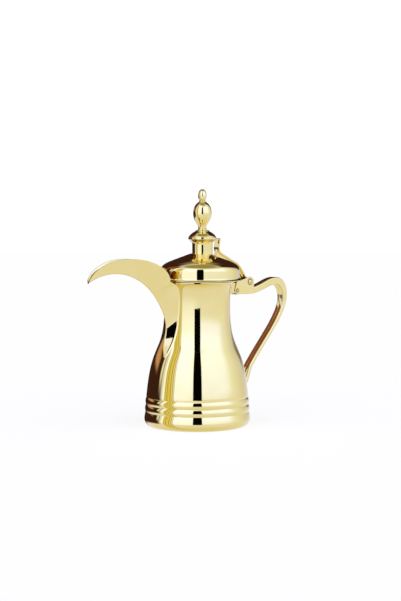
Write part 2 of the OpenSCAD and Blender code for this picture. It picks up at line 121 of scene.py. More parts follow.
pin = [v / MM for v in frame["joints"][0]["pos_m"]]
PIN_X = pin[0]
PIN_Z = pin[2]
HANDLE_W = 10
EAR_GAP = 10.2
EAR_T = 1
KNUCKLE_R = 3.6
STRAP_W = 8
STRAP_T = 1.6
PAD_T = 1.2


# ---- curves ----

def bezier(p, t):
    """Point at t on a cubic Bezier curve with control points of any dimension."""
    w = ((1 - t) ** 3, 3 * t * (1 - t) ** 2, 3 * t * t * (1 - t), t ** 3)
    return [sum(w[i] * p[i][k] for i in range(4)) for k in range(len(p[0]))]


def heading(p, t):
    """Unit direction of that curve at t, in its first two dimensions."""
    w = ((1 - t) ** 2, 2 * t * (1 - t), t * t)
    d = [sum(w[i] * (p[i + 1][k] - p[i][k]) for i in range(3)) for k in range(2)]
    size = math.hypot(*d)
    return d[0] / size, d[1] / size


def beside(p, t, d):
    """The curve moved sideways by d, to the left of its direction."""
    h = heading(p, t)
    c = bezier(p, t)
    return c[0] - d * h[1], c[1] + d * h[0]


def along(p, n, d=0.0, start=0):
    """Points start to n of n steps along a curve, moved sideways by d."""
    return [beside(p, i / n, d) for i in range(start, n + 1)]


def arc(c, r, a0, a1, n):
    """Arc about c from a0 to a1 degrees in n steps."""
    angles = [math.radians(a0 + (a1 - a0) * i / n) for i in range(n + 1)]
    return [(c[0] + r * math.cos(a), c[1] + r * math.sin(a)) for a in angles]


def mix(a, b, t):
    return a + (b - a) * t


def rounded(points, radius, steps=4, closed=True):
    """A polygon with each corner replaced by a curve that starts and ends radius from the corner."""
    out = []
    count = len(points)
    for i, p in enumerate(points):
        if not closed and i in (0, count - 1):
            out.append(tuple(p))
            continue
        p = Vector(p)
        a = Vector(points[i - 1]) - p
        b = Vector(points[(i + 1) % count]) - p
        turn = math.pi - a.angle(b)
        if turn < math.radians(20):
            out.append(tuple(p))
            continue
        ra = min(radius, a.length * 0.45)
        rb = min(radius, b.length * 0.45)
        first = p + a.normalized() * ra
        last = p + b.normalized() * rb
        for j in range(steps + 1):
            t = j / steps
            out.append(tuple(first * (1 - t) ** 2 + p * 2 * t * (1 - t) + last * t * t))
    return out


# ---- meshes ----

def apply_modifiers(obj):
    """Replaces an object's mesh by what its modifiers make of it."""
    bpy.context.view_layer.update()
    graph = bpy.context.evaluated_depsgraph_get()
    made = bpy.data.meshes.new_from_object(obj.evaluated_get(graph))
    obj.modifiers.clear()
    obj.data = made


def smooth_by_area(obj, sharp):
    """Smooth shading in which large flat faces keep their own direction."""
    obj.data.shade_smooth()
    obj.data.set_sharp_from_angle(angle=math.radians(sharp))
    weighted = obj.modifiers.new("weighted", "WEIGHTED_NORMAL")
    weighted.keep_sharp = True
    weighted.weight = 50
    apply_modifiers(obj)


def finish_mesh(name, verts, faces, body, slot, node, sharp=35):
    """Makes a smooth-shaded piece from millimetre points that rides on a body and replaces a node."""
    mesh = bpy.data.meshes.new(name)
    mesh.from_pydata([[v * MM for v in p] for p in verts], [], faces)
    clean = bmesh.new()
    clean.from_mesh(mesh)
    bmesh.ops.remove_doubles(clean, verts=clean.verts, dist=1e-7)
    bmesh.ops.recalc_face_normals(clean, faces=clean.faces)
    clean.to_mesh(mesh)
    clean.free()
    obj = bpy.data.objects.new(name, mesh)
    bpy.context.scene.collection.objects.link(obj)
    smooth_by_area(obj, sharp)
    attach(obj, body)
    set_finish(obj, slot)
    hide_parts(node)
    return obj


def lathe_data(profile, x=0.0, steps=192):
    """Vertices and faces of a closed [radius, height] profile turned about a vertical axis at x."""
    verts = []
    faces = []
    rings = []
    for r, z in profile:
        first = len(verts)
        if r < 1e-6:
            verts.append((x, 0, z))
            rings.append([first] * steps)
            continue
        for j in range(steps):
            a = TURN * (j + 0.5) / steps
            verts.append((x + r * math.cos(a), r * math.sin(a), z))
        rings.append(list(range(first, first + steps)))
    count = len(rings)
    for i in range(count):
        low = rings[i]
        high = rings[(i + 1) % count]
        if low[0] == low[1] and high[0] == high[1]:
            continue
        for j in range(steps):
            k = (j + 1) % steps
            loop = [low[j], low[k], high[k], high[j]]
            faces.append(list(dict.fromkeys(loop)))
    return verts, faces


def lathe(name, profile, body, slot, node, x=0.0, steps=192, sharp=35):
    """A closed [radius, height] profile turned about a vertical axis at x, as a finished piece."""
    verts, faces = lathe_data(profile, x, steps)
    return finish_mesh(name, verts, faces, body, slot, node, sharp)


def cross_lathe(name, profile, x, z, body, slot, node, steps=64):
    """A closed [radius, distance along Y] profile turned about an axis along Y."""
    verts, faces = lathe_data(profile, 0, steps)
    verts = [(x + p[0], p[2], z + p[1]) for p in verts]
    return finish_mesh(name, verts, faces, body, slot, node)


def loft(name, sections, body, slot, node, sharp=35):
    """Closed skin over sections that have the same number of points."""
    n = len(sections[0])
    verts = [p for s in sections for p in s]
    faces = []
    for i in range(len(sections) - 1):
        for j in range(n):
            a = i * n + j
            b = i * n + (j + 1) % n
            faces.append([a, b, b + n, a + n])
    faces.append(list(range(n)))
    faces.append([len(verts) - n + j for j in range(n)])
    return finish_mesh(name, verts, faces, body, slot, node, sharp)


def bevelled_plate(outline, y0, y1, edge, steps=3):
    """Sections across Y of an X-Z outline, drawn in near both faces so that its edges are round."""
    shape = [Vector(p) for p in outline]
    count = len(shape)
    area = sum(shape[i - 1].x * shape[i].y - shape[i].x * shape[i - 1].y for i in range(count))
    side = 1 if area > 0 else -1

    def inset(d):
        """The outline drawn in by d."""
        out = []
        for i in range(count):
            before = (shape[i] - shape[i - 1]).normalized()
            after = (shape[(i + 1) % count] - shape[i]).normalized()
            middle = (before + after).normalized()
            grow = 1 / max(0.5, middle.dot(after))
            out.append(shape[i] + Vector((-middle.y, middle.x)) * d * side * grow)
        return out

    levels = []
    for i in range(steps + 1):
        a = math.radians(90 * i / steps)
        levels.append((edge * (1 - math.sin(a)), edge * (1 - math.cos(a))))
    sections = []
    for d, away in levels:
        sections.append([(p.x, y0 + away, p.y) for p in inset(d)])
    for d, away in reversed(levels):
        sections.append([(p.x, y1 - away, p.y) for p in inset(d)])
    return sections


def plate_data(plates):
    """Vertices and faces of several closed plates, each given as its sections."""
    verts = []
    faces = []
    for sections in plates:
        first = len(verts)
        n = len(sections[0])
        verts += [p for s in sections for p in s]
        for i in range(len(sections) - 1):
            for j in range(n):
                a = first + i * n + j
                b = first + i * n + (j + 1) % n
                faces.append([a, b, b + n, a + n])
        faces.append([first + j for j in range(n)])
        faces.append([len(verts) - n + j for j in range(n)])
    return verts, faces


# ---- body ----

FOOT_FLAT_R = FOOT_R - FOOT_CORNER_R
RINGS_TOP = FOOT_CORNER_R + RING_COUNT * RING_PITCH
FLARE_END_Z = MOUTH_Z - WALL
BELLY_CURVE = [(BELLY_R, RINGS_TOP + 1.2), (BELLY_R - 5.8, 94), (WAIST_R, 73.5), (WAIST_R, WAIST_Z)]
FLARE_CURVE = [(WAIST_R, WAIST_Z), (WAIST_R, WAIST_Z + 15), (WAIST_R + 1.3, FLARE_END_Z - 1.8),
               (MOUTH_R, FLARE_END_Z)]


def groove_r(k):
    """Outer radius in groove k, counted from the lowest."""
    return FOOT_R - RING_PROUD - k * RING_TAPER


def ring(i, n):
    """Ring i bulges between two grooves; the lowest one rises straight from the foot."""
    out = []
    for j in range(1, n + 1):
        u = j / n
        s = u if i == 0 else 2 * u - 1
        r = mix(groove_r(i), groove_r(i + 1), u) + RING_PROUD * (1 - s * s)
        out.append((r, FOOT_CORNER_R + (i + u) * RING_PITCH))
    return out


def foot_outline(d):
    """Outline of the foot up to the groove above the top ring, d inside the outer skin."""
    out = arc((FOOT_FLAT_R, FOOT_CORNER_R), FOOT_CORNER_R - d, -90, 0, 16)
    for i in range(RING_COUNT):
        out += [(r - d, z) for r, z in ring(i, 16)]
    return out


def body_outline(d):
    """Outline of the body from that groove to the mouth, d inside the outer skin."""
    out = [(groove_r(RING_COUNT) - d, RINGS_TOP)]
    out += along(BELLY_CURVE, 72, d)
    out += along(FLARE_CURVE, 32, d, 1)
    return out


skin_table = [(z, r) for r, z in foot_outline(0) + body_outline(0) if z > FOOT_CORNER_R]


def skin_r(z):
    """Outer radius of the body at height z."""
    if z <= skin_table[0][0]:
        return skin_table[0][1]
    for (z0, r0), (z1, r1) in zip(skin_table, skin_table[1:]):
        if z0 <= z <= z1 and z1 > z0:
            return mix(r0, r1, (z - z0) / (z1 - z0))
    return skin_table[-1][1]


def strainer_holes():
    """Rods along X through the wall behind the spout, one and two to a row in turn."""
    rod_x = -45
    rod_length = 44
    along_x = Matrix.Rotation(math.pi / 2, 4, "Y")
    holes = bmesh.new()
    for row in range(STRAINER_ROWS):
        z = STRAINER_LOW_Z + row * STRAINER_PITCH
        for y in ([0] if row % 2 == 0 else [-STRAINER_SIDE_Y, STRAINER_SIDE_Y]):
            place = Matrix.Translation(Vector((rod_x, y, z)) * MM) @ along_x
            bmesh.ops.create_cone(holes, cap_ends=True, segments=32, radius1=STRAINER_R * MM,
                                  radius2=STRAINER_R * MM, depth=rod_length * MM, matrix=place)
    return holes


def make_body():
    """Spun body with a rounded lip, pierced by the strainer."""
    outer = body_outline(0)
    inner = body_outline(WALL)
    lip_out = outer[-1]
    lip_in = inner[-1]
    middle = ((lip_out[0] + lip_in[0]) / 2 + 0.25, (lip_out[1] + lip_in[1]) / 2 + 0.2)
    profile = outer + [middle] + inner[::-1]
    body = lathe("body_shell_visual", profile, "pot", "polished_gold", "body_shell", steps=FINE_STEPS)
    holes = strainer_holes()
    cutter_mesh = bpy.data.meshes.new("strainer_cutter")
    holes.to_mesh(cutter_mesh)
    holes.free()
    cutter = bpy.data.objects.new("strainer_cutter", cutter_mesh)
    bpy.context.scene.collection.objects.link(cutter)
    cut = body.modifiers.new("strainer", "BOOLEAN")
    cut.operation = "DIFFERENCE"
    cut.solver = "EXACT"
    cut.object = cutter
    apply_modifiers(body)
    bpy.data.objects.remove(cutter)
    smooth_by_area(body, 35)
    return body


def make_foot():
    """Foot with its rings and the narrow flange under it."""
    edge = FOOT_FLAT_R - FOOT_FLANGE
    profile = [(edge, 0)] + foot_outline(0) + foot_outline(WALL)[::-1] + [(edge, WALL)]
    return lathe("foot_shell_visual", profile, "pot", "polished_gold", "foot_shell", steps=FINE_STEPS)


# ---- spout ----

KEEL_UPPER = [(-144.7, 154.5), (-114.5, 171), (-79.7, 162.5), (-60.3, 140.1)]
KEEL_LOWER = [(-60.3, 140.1), (-28, 101), (-55, 96.6), (-45.2, 74)]
RIM_CURVE = [(-143.8, 158.5), (-125, 190), (-43, 179.3), (-44.7, 153.5)]
RIM_W = [(2,), (6,), (8,), (8.5,)]
SEAM_CURVE = [(8.5, 153.5), (11.8, 127), (7.5, 88), (1.2, 73)]
SPOUT_T = 1.0
KEEL_R = 1.0
KEEL_SEAM = 2.2
SPOUT_BITE = 0.7
SEAM_START = 1 / 22
FILLET_R = 2.4
FILLET_STEPS = 7
FILLET_SINK = 0.12               # depth of the fillet's foot in the body's skin
FILLET_START_R = 0.3             # its radius at the rim, from where it grows
FILLET_GROW_STEPS = 8
SPOUT_EDGE_H = 0.12              # the sheet's round edge, measured along the sheet
SPOUT_EDGE_W = 0.35              # and across it
SPOUT_STEPS = 96                 # along the rim, and as many along the seam


def spout_section(k, e, w, side, fillet=0.0, skin=0.0):
    """Section of one half between keel point k and edge point e, at half width w.

    A fillet above 0 flares the sheet out onto the body, whose radius there is skin.
    """
    reach = math.hypot(e[0] - k[0], e[1] - k[1])
    ux = (e[0] - k[0]) / reach
    uz = (e[1] - k[1]) / reach
    slope = (w - KEEL_R) / max(reach, 1)

    def place(points):
        """Points from [distance from the keel, half width] to x, y, z."""
        return [(k[0] + s * ux, side * y, k[1] + s * uz) for s, y in points]

    round_r = min(KEEL_R, 0.3 * reach)
    seam = min(KEEL_SEAM, 0.45 * reach)
    keel_angles = [math.radians(18 * i) for i in range(1, 6)]
    keel = [(0.0, 0.0)]
    keel += [(round_r * (1 - math.cos(a)), KEEL_R * math.sin(a)) for a in keel_angles]
    section = place(keel)
    if fillet > 0:
        for i in range(FILLET_STEPS + 1):
            a = math.radians(90 * i / FILLET_STEPS)
            away = fillet * (1 - math.sin(a)) + SPOUT_BITE - FILLET_SINK
            y = w - away * slope + fillet * (1 - math.cos(a))
            sink = math.sqrt(skin * skin - w * w) - math.sqrt(skin * skin - y * y)
            section.append((e[0] - away * ux + sink, side * y, e[1] - away * uz))
        last = section[-1]
        section.append((last[0] + SPOUT_BITE, last[1], last[2]))
    else:
        end = reach - 0.5
        end_y = w - 0.5 * slope
        shares = [0.3 + 0.7 * i / FILLET_STEPS for i in range(FILLET_STEPS)]
        section += place([(mix(round_r, end, t), mix(KEEL_R, end_y, t)) for t in shares])
        section += place([(reach - SPOUT_EDGE_H, w - 0.1), (reach, w - SPOUT_EDGE_W)])
    section += place([(reach, w - SPOUT_T + SPOUT_EDGE_W), (reach - SPOUT_EDGE_H, w - SPOUT_T + 0.1),
                      (reach - 0.6, w - SPOUT_T - 0.05), (seam, 0.0)])
    return section


def spout_half(name, node, side):
    """One pressed half, from the tip along the rim to the lid and then down the seam on the body."""
    sections = []
    for i in range(SPOUT_STEPS + 1):
        t = i / SPOUT_STEPS
        keel = bezier(KEEL_UPPER, t)
        sections.append(spout_section(keel, bezier(RIM_CURVE, t), bezier(RIM_W, t)[0], side))
    for i in range(SPOUT_STEPS + 1):
        t = mix(SEAM_START, 1, i / SPOUT_STEPS)
        w, z = bezier(SEAM_CURVE, t)
        depth = skin_r(z) - SPOUT_BITE
        edge = (-math.sqrt(depth ** 2 - w ** 2), z)
        narrow = min(1, 0.35 + w / 8)
        grown = mix(FILLET_START_R, FILLET_R, min(1, i / FILLET_GROW_STEPS)) * narrow
        sections.append(spout_section(bezier(KEEL_LOWER, t), edge, w, side, grown, skin_r(z)))
    return loft(name, sections, "pot", "polished_gold", node, sharp=40)


# ---- handle ----

HANDLE_CURVES = [
    [(66.4, 139.8, 7), (88, 138.5, 7), (98, 148.6, 7.6), (112, 149.2, 8)],
    [(112, 149.2, 8), (119.5, 149.5, 8.4), (126.6, 143.5, 8.4), (126.8, 132, 6.2)],
    [(126.8, 132, 6.2), (127, 112, 4.2), (98, 88, 4.2), (76, 59.6, 4.6)],
    [(76, 59.6, 4.6), (68.7, 50.1, 4.8), (72, 35, 5), (53, 36.5, 6)],
]
HANDLE_T = 1
HANDLE_EDGE_R = 1.3
HANDLE_SEAM = 0.12               # depth of the groove where the halves meet
HANDLE_STEPS = 40


def handle_section(h):
    """Hollow section of one half as [distance from the middle line, half width], h half as thick."""
    r = HANDLE_EDGE_R
    t = HANDLE_T
    w = HANDLE_W / 2
    quarter = [math.radians(15 * j) for j in range(7)]
    path = [(h - HANDLE_SEAM, 0), (h, 0.15)]
    path += [(h - r + r * math.cos(a), w - r + r * math.sin(a)) for a in quarter]
    path += [(-h + r - r * math.sin(a), w - r + r * math.cos(a)) for a in quarter]
    path += [(-h, 0.15), (-h + HANDLE_SEAM, 0)]
    path += [(-h + t, 0), (-h + t, w - t), (h - t, w - t), (h - t, 0)]
    return path


def handle_half(name, node, side):
    """One pressed channel, swept along the handle's middle line."""
    sections = []
    for number, curve in enumerate(HANDLE_CURVES):
        for i in range(0 if number == 0 else 1, HANDLE_STEPS + 1):
            t = i / HANDLE_STEPS
            section = []
            for d, y in handle_section(bezier(curve, t)[2] / 2):
                x, z = beside(curve, t, d)
                section.append((x, side * y, z))
            sections.append(section)
    return loft(name, sections, "pot", "polished_gold", node, sharp=50)


def handle_foot():
    """Oval pad shaped to the belly, thin at its edge."""
    pad_low, pad_high = node_box("handle_foot")
    mid_z = (pad_low[2] + pad_high[2]) / 2
    half_w = (pad_high[1] - pad_low[1]) / 2
    half_h = (pad_high[2] - pad_low[2]) / 2
    straight = half_w - half_h
    verts = []
    faces = []
    levels = [(0.0, PAD_T), (0.5, PAD_T), (0.8, PAD_T), (0.93, PAD_T - 0.1), (0.985, PAD_T - 0.35),
              (1.0, 0.5), (1.0, -0.4), (0.0, -0.4)]
    around = 64
    for share, rise in levels:
        for j in range(around):
            a = TURN * j / around
            y = share * (half_h * math.cos(a) + math.copysign(straight, math.cos(a)))
            z = mid_z + share * half_h * math.sin(a)
            r = skin_r(z) + rise
            verts.append((math.sqrt(r * r - y * y), y, z))
    for i in range(len(levels) - 1):
        for j in range(around):
            k = (j + 1) % around
            faces.append([i * around + j, i * around + k, (i + 1) * around + k, (i + 1) * around + j])
    return finish_mesh("handle_foot_visual", verts, faces, "pot", "polished_gold", "handle_foot")


# ---- hinge ----

EAR_HALF = EAR_GAP / 2
EAR_TOP_AT = (53, 148.4)
EAR_TOP_R = 1.8
EAR_EYE_R = 5.6
EAR_RIVET_R = 3.4
PIN_SHANK_R = 1.75
PIN_HEAD_R = 3.2
PIN_HEAD_H = 1.5
RIVET_AT = (52.6, 140.8)
RIVET_SHANK_R = 1.1
RIVET_HEAD_R = 1.9
RIVET_HEAD_H = 0.8


def ear_outline():
    """Side view of an ear: a plate with round corners about the pin and the rivet."""
    out = arc(EAR_TOP_AT, EAR_TOP_R, 180, 106, 8)
    out += arc((PIN_X + 0.4, PIN_Z - 0.2), EAR_EYE_R, 106, 0, 24)
    out += arc((PIN_X + 5.2, 137.2), 0.8, 0, -90, 6)
    out += arc(RIVET_AT, EAR_RIVET_R, -94, -180, 12)
    return out


def hinge_clevis():
    """Two ears joined by a floor under the bracket's tongue."""
    near_x = 52.2
    far_x = 65.8
    under_z = 136.5
    over_z = 137.5
    floor = [(near_x, under_z), (far_x, under_z), (far_x, over_z), (near_x, over_z)]
    verts, faces = plate_data([
        bevelled_plate(ear_outline(), -EAR_HALF - EAR_T, -EAR_HALF, 0.25),
        bevelled_plate(ear_outline(), EAR_HALF, EAR_HALF + EAR_T, 0.25),
        bevelled_plate(floor, -EAR_HALF - 0.3, EAR_HALF + 0.3, 0.1),
    ])
    return finish_mesh("hinge_clevis_visual", verts, faces, "pot", "polished_gold", "hinge_clevis")


def neck_bracket():
    """Saddle on the neck that draws in through hollow fillets to a tongue between the ears."""
    tongue_half = HANDLE_W / 2
    fillet_r = 6
    fillet_x = 44                # where the fillets meet the tongue
    corner_r = 1.0
    back_x = 32.5
    rise_x = 39                  # between this and tongue_x the underside rises
    tongue_x = 48
    slope_x = 50                 # from here to tip_x the top falls
    tip_x = 58
    round_x = 57.4
    saddle_low_z = 133.5
    tongue_low_z = 137.7
    high_z = 149.2
    tip_high_z = 147.2
    sections = []
    stops = [back_x + 0.5 * i for i in range(11)]
    stops += [fillet_x - fillet_r * math.cos(math.radians(5 * i)) for i in range(1, 19)]
    stops += [46, tongue_x, slope_x, 52, 54, 56, 57.6, 57.9, tip_x]
    for x in stops:
        half = tongue_half
        if x <= fillet_x - fillet_r:
            half = tongue_half + fillet_r
        elif x < fillet_x:
            half = tongue_half + fillet_r - math.sqrt(fillet_r ** 2 - (fillet_x - x) ** 2)
        low = tongue_low_z
        if x < rise_x:
            low = saddle_low_z
        elif x < tongue_x:
            rise = math.sin(math.radians(90 * (x - rise_x) / (tongue_x - rise_x)))
            low = mix(saddle_low_z, tongue_low_z, rise)
        high = high_z
        if x >= slope_x:
            high = mix(high_z, tip_high_z, (x - slope_x) / (tip_x - slope_x))
        shrink = max(0.0, x - round_x) ** 2 * 0.8
        box = [(-half + shrink, low + shrink), (half - shrink, low + shrink),
               (half - shrink, high - shrink), (-half + shrink, high - shrink)]
        sections.append([(x, y, z) for y, z in rounded(box, corner_r, 4)])
    return loft("neck_bracket_visual", sections, "pot", "polished_gold", "neck_bracket", sharp=50)


def cross_rivet(name, node, x, z, shank_r, head_r, head_h):
    """Round rivet along Y: a shank with a domed head outside each ear."""
    half = EAR_HALF + EAR_T
    dome_r = (head_r ** 2 + head_h ** 2) / (2 * head_h)
    spread = math.degrees(math.asin(head_r / dome_r))
    head = arc((0, half + head_h - dome_r), dome_r, 90, 90 - spread, 16)
    profile = head + [(head_r - 0.12, half - 0.05), (shank_r, half - 0.05)]
    profile += [(r, -y) for r, y in profile[::-1]]
    return cross_lathe(name, profile, x, z, "pot", "rivet_gold", node)


# ---- lid ----

SHOULDER_Z = LID_Z + LID_BAND_H
CONE_FOOT = (LID_R - LID_SHOULDER_W, SHOULDER_Z + LID_SHOULDER_H)
LID_TOP_Z = CONE_FOOT[1] + (CONE_FOOT[0] - DRUM_R) * math.tan(LID_SLOPE)
BAND_DRAFT = 0.25                # how far the band draws in towards its top
SHOULDER_CURVE = [(LID_R - BAND_DRAFT, SHOULDER_Z), (LID_R - 1.6 * BAND_DRAFT, SHOULDER_Z + 4.7),
                  (CONE_FOOT[0] + 9.6 * math.cos(LID_SLOPE), CONE_FOOT[1] - 9.6 * math.sin(LID_SLOPE)),
                  CONE_FOOT]


def lid_outline(d):
    """Skin of the lid from the band to the flat under the finial, d inside the outer skin."""
    out = along(SHOULDER_CURVE, 40, d)
    start = out[-1]
    end_z = LID_TOP_Z - d / math.cos(LID_SLOPE)
    out += [(mix(start[0], DRUM_R, i / 12), mix(start[1], end_z, i / 12)) for i in range(1, 13)]
    return out


lid_table = lid_outline(0)[::-1]


def lid_skin(r):
    """Height of the lid's outer skin at distance r from the lid's axis."""
    if r <= lid_table[0][0]:
        return lid_table[0][1]
    for (r0, z0), (r1, z1) in zip(lid_table, lid_table[1:]):
        if r0 <= r <= r1 and r1 > r0:
            return mix(z0, z1, (r - r0) / (r1 - r0))
    return lid_table[-1][1]


def make_lid_shell():
    """Spun lid with a rolled lower edge."""
    edge = [(LID_EDGE_R, LID_Z + 0.8), (LID_EDGE_R - 0.9, LID_Z + 1.4), (LID_R, LID_Z + 2.2),
            (LID_R, LID_Z + LID_EDGE_H)]
    profile = [(LID_R - LID_T, LID_Z), (LID_EDGE_R - 0.25, LID_Z), (LID_EDGE_R - 0.07, LID_Z + 0.07)]
    profile += [(LID_EDGE_R, LID_Z + 0.25)] + along(edge, 20)
    profile += lid_outline(0)
    profile += [(0, LID_TOP_Z), (0, LID_TOP_Z - LID_T / math.cos(LID_SLOPE))]
    profile += lid_outline(LID_T)[::-1]
    return lathe("lid_shell_visual", profile, "lid", "polished_gold", "lid_shell", LID_X, FINE_STEPS)


def make_lid_ring():
    """Flat ring in the lid's edge with a sleeve that drops into the mouth."""
    r = INNER_RING_R
    profile = [(r - LID_T, LID_Z - INNER_RING_H), (r, LID_Z - INNER_RING_H), (r, LID_Z),
               (LID_R - LID_T, LID_Z), (LID_R - LID_T, LID_Z + LID_T), (r - LID_T, LID_Z + LID_T)]
    return lathe("lid_inner_ring_visual", rounded(profile, 0.3), "lid", "plain_gold",
                 "lid_inner_ring", LID_X)


STRAP_RISE = 6.2
STRAP_WEB_W = 3.6
WEB_IN_X = 25
TAB_OUT_X = 28.7
TAB_LEAN = 1.5
TAB_TOP_Z = node_box("lid_strap")[1][2]
ARM_CURVE = [(PIN_X - 0.3, PIN_Z + KNUCKLE_R), (63.5, 157), (62, 168.8), (50, 172.4)]
TAB_CURVE = [(35.5, lid_skin(35.5 - LID_X) + STRAP_RISE), (31, lid_skin(31 - LID_X) + STRAP_RISE + 0.3),
             (TAB_OUT_X - 0.5, 183.5), (TAB_OUT_X, 188)]


def strip_line(d):
    """Top line of the strip from the knuckle to the thumb tab, d inside it."""
    return along(ARM_CURVE, 28, d) + along(TAB_CURVE, 28, d)


def make_strap():
    """Bent strip that ends in the thumb tab, the web under it and the knuckle round the pin."""
    half_t = STRAP_T / 2
    tab_mid = (TAB_OUT_X + TAB_LEAN - half_t, TAB_TOP_Z - half_t)
    strip = strip_line(0) + arc(tab_mid, half_t, 0, 180, 12) + strip_line(STRAP_T)[::-1]
    web = strip_line(half_t) + [(x, lid_skin(x - LID_X) + 0.1) for x in range(WEB_IN_X, 44, 2)]
    web += [(52, 166.8), (57.6, 162.6), (63, 155.5), (PIN_X, PIN_Z)]
    knuckle = arc((PIN_X, PIN_Z), KNUCKLE_R, 0, 360, 64)[:-1]
    verts, faces = plate_data([
        bevelled_plate(strip, -STRAP_W / 2, STRAP_W / 2, 0.45, 4),
        bevelled_plate(web, -STRAP_WEB_W / 2, STRAP_WEB_W / 2, 0.3, 3),
        bevelled_plate(knuckle, -STRAP_W / 2, STRAP_W / 2, 0.5, 4),
    ])
    return finish_mesh("lid_strap_visual", verts, faces, "lid", "polished_gold", "lid_strap", 45)


# ---- finial ----

DRUM_H = 9.4
FLARE_H = 5.6
COLLAR_EDGE = 2.1
RIM_Z = LID_TOP_Z + DRUM_H + FLARE_H
DOME_Z = RIM_Z + COLLAR_EDGE
DOME_STEP_R = 7.4
DOME_STEP_H = 6.4
NECK_Z = DOME_Z + DOME_STEP_H + 1.2
KNOB_Z = NECK_Z + 3.6
KNOB_TOP_R = 3.5
TIP_Z = KNOB_Z + 26
TIP_H = 13.4


def make_drum():
    """Drum whose foot follows the lid's skin, since its axis is beside the lid's."""
    flare = [(DRUM_R, RIM_Z - FLARE_H), (DRUM_R, RIM_Z - 2.4), (COLLAR_R - 2.6, RIM_Z - 2.2),
             (COLLAR_R, RIM_Z)]
    foot_z = LID_TOP_Z - 2
    profile = [(DRUM_R, foot_z), (DRUM_R, mix(LID_TOP_Z, RIM_Z - FLARE_H, 0.5))]
    profile += along(flare, 28)
    profile += [(COLLAR_R - 2, RIM_Z), (DRUM_R - 1, RIM_Z - FLARE_H), (DRUM_R - 1, foot_z)]
    verts, faces = lathe_data(profile, FINIAL_X)
    for i, (x, y, z) in enumerate(verts):
        if z == foot_z:
            verts[i] = (x, y, lid_skin(math.hypot(x - LID_X, y)))
    return finish_mesh("finial_drum_visual", verts, faces, "lid", "polished_gold", "finial_drum")


def make_dome():
    """Domed cap that sits on the collar and steps in under the knob."""
    curve = [(COLLAR_R, DOME_Z), (COLLAR_R - 0.8, DOME_Z + 2.4), (DOME_STEP_R + 2.8, DOME_Z + 5.2),
             (DOME_STEP_R, DOME_Z + DOME_STEP_H)]
    rim = [(COLLAR_R - 2.2, RIM_Z), (COLLAR_R + 0.2, RIM_Z), (COLLAR_R + 0.2, DOME_Z - 0.2)]
    profile = rounded(rim + [(COLLAR_R - 0.1, DOME_Z + 0.1)], 0.4, 4, False)
    profile += along(curve, 28, 0, 1)
    profile += [(DOME_STEP_R - 0.15, DOME_Z + DOME_STEP_H + 0.4), (DOME_STEP_R - 0.6, NECK_Z - 0.3),
                (FINIAL_NECK_R + 0.6, NECK_Z), (0, NECK_Z), (0, NECK_Z - 1.6),
                (DOME_STEP_R - 1.4, NECK_Z - 1.8)]
    profile += [p for p in along(curve, 12, 1)[::-1] if p[1] < DOME_Z + DOME_STEP_H - 1]
    return lathe("finial_dome_visual", profile, "lid", "polished_gold", "finial_dome", FINIAL_X)


def make_knob():
    """Turned neck and egg-shaped knob."""
    low = [(FINIAL_NECK_R - 0.6, KNOB_Z - 0.6), (FINIAL_NECK_R + 0.3, KNOB_Z + 4), (KNOB_R, KNOB_Z + 6.5),
           (KNOB_R, KNOB_Z + 13.5)]
    high = [(KNOB_R, KNOB_Z + 13.5), (KNOB_R, KNOB_Z + 20.5), (KNOB_TOP_R + 3.4, TIP_Z - 1.6),
            (KNOB_TOP_R, TIP_Z)]
    foot = [(FINIAL_NECK_R - 0.15, NECK_Z), (FINIAL_NECK_R, NECK_Z + 0.3), (FINIAL_NECK_R, NECK_Z + 0.8),
            (FINIAL_NECK_R - 0.2, NECK_Z + 1.2), (FINIAL_NECK_R - 0.6, NECK_Z + 1.6)]
    profile = [(0, NECK_Z)] + foot + along(low, 32) + along(high, 32, 0, 1) + [(0, TIP_Z)]
    return lathe("finial_knob_visual", profile, "lid", "polished_gold", "finial_knob", FINIAL_X)


def make_tip():
    """Bead on a thin ring, with a spigot down into the knob."""
    bead = [(TIP_R - 0.8, TIP_Z + 2.4), (TIP_R + 0.3, TIP_Z + 4.4), (TIP_R + 0.7, TIP_Z + TIP_H - 0.6),
            (0, TIP_Z + TIP_H)]
    ring_r = KNOB_TOP_R - 0.7
    profile = [(0, TIP_Z - 2), (1.6, TIP_Z - 2), (1.6, TIP_Z)]
    profile += arc((ring_r, TIP_Z + 0.8), 0.8, -90, 90, 12)
    profile += along(bead, 36)
    return lathe("finial_tip_visual", profile, "lid", "polished_gold", "finial_tip", FINIAL_X, 128)


pieces = [
    make_body(),
    make_foot(),
    spout_half("spout_left_visual", "spout_left_half", -1),
    spout_half("spout_right_visual", "spout_right_half", 1),
    handle_half("handle_left_visual", "handle_left_half", -1),
    handle_half("handle_right_visual", "handle_right_half", 1),
    handle_foot(),
    neck_bracket(),
    hinge_clevis(),
    cross_rivet("bracket_rivet_visual", "bracket_rivet", *RIVET_AT, RIVET_SHANK_R, RIVET_HEAD_R,
                RIVET_HEAD_H),
    cross_rivet("hinge_pin_visual", "hinge_pin", PIN_X, PIN_Z, PIN_SHANK_R, PIN_HEAD_R, PIN_HEAD_H),
    make_lid_shell(),
    make_lid_ring(),
    make_strap(),
    make_drum(),
    make_dome(),
    make_knob(),
    make_tip(),
]


# ---- node graphs ----

def link_or_set(tree, socket, value):
    """Feeds an input from a socket or with a value; None leaves it as it is."""
    if isinstance(value, bpy.types.NodeSocket):
        tree.links.new(value, socket)
    elif value is not None:
        socket.default_value = value


def node(tree, kind, inputs=(), **settings):
    """Adds a node; inputs are sockets or values, by position or by name."""
    made = tree.nodes.new(kind)
    for key, value in settings.items():
        setattr(made, key, value)
    pairs = inputs.items() if isinstance(inputs, dict) else enumerate(inputs)
    for key, value in pairs:
        link_or_set(tree, made.inputs[key], value)
    return made


def calc(tree, operation, *values):
    """Result of a maths node."""
    return node(tree, "ShaderNodeMath", values, operation=operation).outputs[0]


